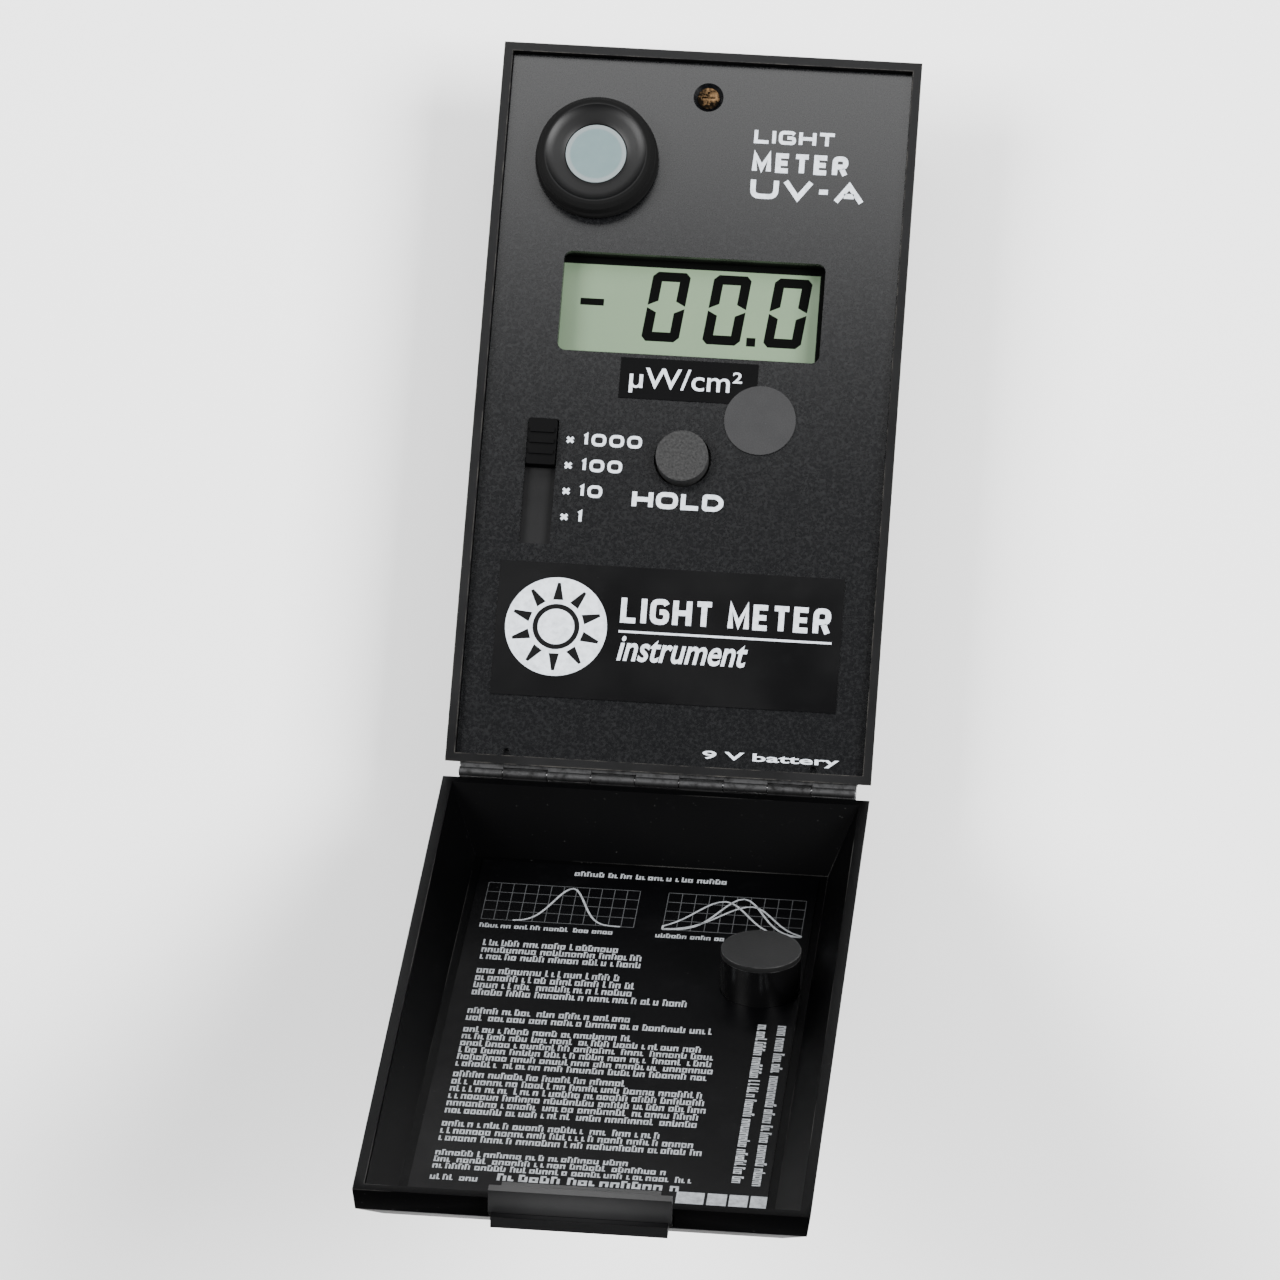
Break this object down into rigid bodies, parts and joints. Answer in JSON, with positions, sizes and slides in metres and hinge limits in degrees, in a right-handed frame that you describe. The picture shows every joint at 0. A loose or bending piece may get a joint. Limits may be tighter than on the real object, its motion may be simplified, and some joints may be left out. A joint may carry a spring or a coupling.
{
  "type": "light meter",
  "caption": "Pocket digital light meter: black case with a round light sensor, LCD, range slider and hold button, under a deep fold-over lid with a latch",
  "frame": {"origin": "centre of the case's flat back, on the surface the case lies on", "axes": "+Z is out of the case's face, +X is across the face to the right as it is read, +Y runs from the hinge to the sensor end"},
  "size_m": [0.075, 0.2358, 0.124],
  "materials": {
    "case_plastic": "black moulded plastic with a fine grain, edges a little worn",
    "plate_black": "black anodised and lightly brushed",
    "lid_plastic": "smooth glossy black",
    "satin_black": "satin black plastic",
    "gloss_black": "glossy black plastic",
    "button_grey": "dark grey, finely grained",
    "brass": "aged brass",
    "steel": "plain steel",
    "hinge_metal": "dull dark steel",
    "diffuser_white": "translucent pale grey-green",
    "filter_glass": "dark violet filter glass",
    "lcd_face": "grey-green liquid crystal cell with black segments",
    "reflector": "matt silver sheet",
    "zebra_rubber": "pink silicone rubber",
    "board_green": "green solder mask",
    "chip_black": "moulded epoxy",
    "trim_blue": "blue trim pot body",
    "cap_body": "sleeved capacitor",
    "reed_glass": "clear green glass",
    "switch_grey": "grey switch body",
    "battery_case": "printed steel can",
    "lead_red": "insulated wire",
    "foam": "open-cell foam",
    "sticker_black": "black printed film",
    "label_black": "black film, slightly glossy, with pale grey print",
    "dot_grey": "translucent grey film",
    "gasket_rubber": "black rubber",
    "magnet": "nickel plated"
  },
  "bodies": {
    "case": {"case_shell": "case_plastic", "face_plate": "plate_black", "face_screw": "brass", "sensor_barrel": "satin_black", "sensor_gasket": "gasket_rubber", "sensor_retainer": "steel", "diffuser": "diffuser_white", "uv_filter": "filter_glass", "photodiode": "steel", "lcd_glass": "lcd_face", "lcd_bezel": "satin_black", "lcd_reflector": "reflector", "zebra_strips": "zebra_rubber", "main_pcb": "board_green", "pcb_screws": "steel", "converter_chip": "chip_black", "amplifier_chip": "chip_black", "trim_pots": "trim_blue", "capacitors": "cap_body", "reed_switch": "reed_glass", "range_switch_body": "switch_grey", "hold_switch_body": "switch_grey", "button_spring": "steel", "battery": "battery_case", "battery_snap": "gloss_black", "battery_leads": "lead_red", "battery_foam": "foam", "unit_sticker": "sticker_black", "brand_label": "label_black", "dot_sticker": "dot_grey", "hinge_case_leaf": "hinge_metal", "hinge_pin": "steel"},
    "lid": {"lid_shell": "lid_plastic", "lid_label": "label_black", "hinge_lid_leaf": "hinge_metal", "magnet_post": "gloss_black", "lid_magnet": "magnet", "post_cap": "satin_black"},
    "latch": {"latch_tongue": "satin_black"},
    "range_slider": {"range_knob": "satin_black", "range_shutter": "satin_black", "range_wiper": "brass"},
    "hold_cap": {"hold_button": "button_grey"},
    "door": {"battery_door": "case_plastic"}
  },
  "joints": [
    {"name": "lid_hinge", "type": "hinge", "parent": "case", "child": "lid", "pos_m": [0, -0.0685, 0.02515], "axis": [1, 0, 0], "range_deg": [-135, 45]},
    {"name": "latch_flex", "type": "hinge", "parent": "lid", "child": "latch", "pos_m": [0, -0.16573, 0.11877], "axis": [1, 0, 0], "range_deg": [0, 12], "stiffness_Nm_per_rad": 0.15},
    {"name": "range_slide", "type": "slide", "parent": "case", "child": "range_slider", "axis": [0, 1, 0], "range_m": [-0.01425, 0]},
    {"name": "hold_press", "type": "slide", "parent": "case", "child": "hold_cap", "axis": [0, 0, -1], "range_m": [0, 0.0012], "stiffness_N_per_m": 300, "deforming": ["button_spring"]},
    {"name": "battery_door_slide", "type": "slide", "parent": "case", "child": "door", "axis": [0, -1, 0], "range_m": [0, 0.036]}
  ]
}
